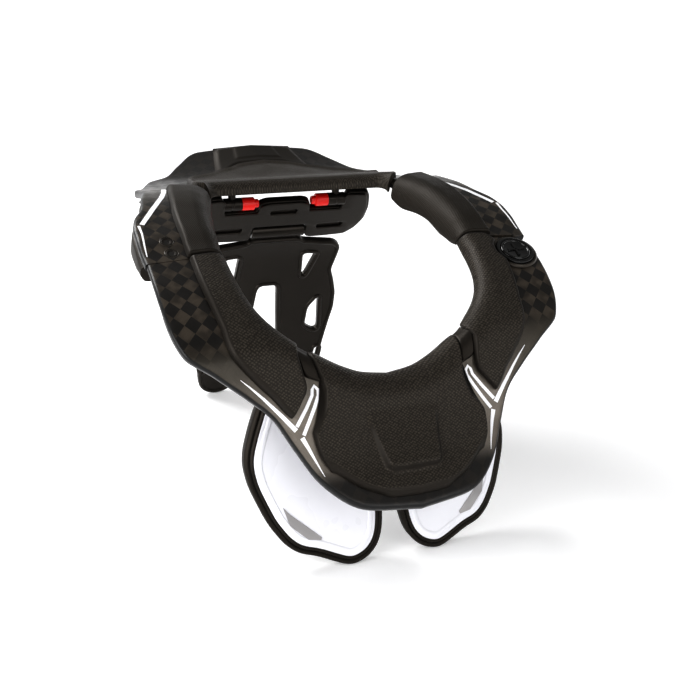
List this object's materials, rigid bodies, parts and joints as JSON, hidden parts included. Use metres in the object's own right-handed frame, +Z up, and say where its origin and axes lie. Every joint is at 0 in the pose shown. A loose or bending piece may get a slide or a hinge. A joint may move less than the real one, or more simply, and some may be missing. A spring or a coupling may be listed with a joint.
{
  "type": "motocross neck brace",
  "caption": "Hinged neck brace for off-road riding: two rigid shells with foam pads, chest plates, a back plate and a folding back strut.",
  "frame": {"origin": "middle of the box's base, on the surface that the brace stands on", "axes": "+Z up, -Y the way the wearer faces, +X the wearer's left"},
  "size_m": [0.2972, 0.3878, 0.2411],
  "materials": {
    "carbon": "satin lacquered carbon laminate",
    "foam": "matt textured foam skin",
    "black_plastic": "satin",
    "white_plastic": "semi-gloss",
    "red_plastic": "semi-gloss",
    "steel": "dark satin"
  },
  "bodies": {
    "rear_frame": {"rear_shell": "carbon", "platform_pad": "foam", "spine_cap": "carbon", "pivot_lug": "black_plastic", "back_plate": "black_plastic", "hinge_pin": "steel", "latch_screw_front": "steel", "latch_screw_rear": "steel", "rear_pad_left": "foam", "rear_pad_right": "foam", "shoulder_pad_left": "foam", "shoulder_pad_right": "foam", "pin_sleeve_left": "black_plastic", "pin_sleeve_right": "black_plastic", "pin_tip_left": "red_plastic", "pin_tip_right": "red_plastic"},
    "front_frame": {"front_shell": "carbon", "front_pad": "foam", "button_bezel": "black_plastic", "latch_tongue": "black_plastic", "side_pad_left": "foam", "side_pad_right": "foam", "chest_plate_left": "white_plastic", "chest_plate_right": "white_plastic", "chest_foam_left": "foam", "chest_foam_right": "foam", "chest_bracket_left": "black_plastic", "chest_bracket_right": "black_plastic"},
    "button": {"release_button": "black_plastic"},
    "strut": {"back_strut": "black_plastic"}
  },
  "joints": [
    {"name": "frame_hinge", "type": "hinge", "parent": "rear_frame", "child": "front_frame", "pos_m": [0.1265, -0.07675, 0.18967], "axis": [0, -0.4358, 0.9], "range_deg": [0, 40]},
    {"name": "button_press", "type": "slide", "parent": "front_frame", "child": "button", "axis": [0, 0.4358, -0.9], "range_m": [0, 0.002], "stiffness_N_per_m": 1500},
    {"name": "strut_hinge", "type": "hinge", "parent": "rear_frame", "child": "strut", "pos_m": [0, 0.11251, 0.17582], "axis": [1, 0, 0], "range_deg": [-100, 0]}
  ]
}
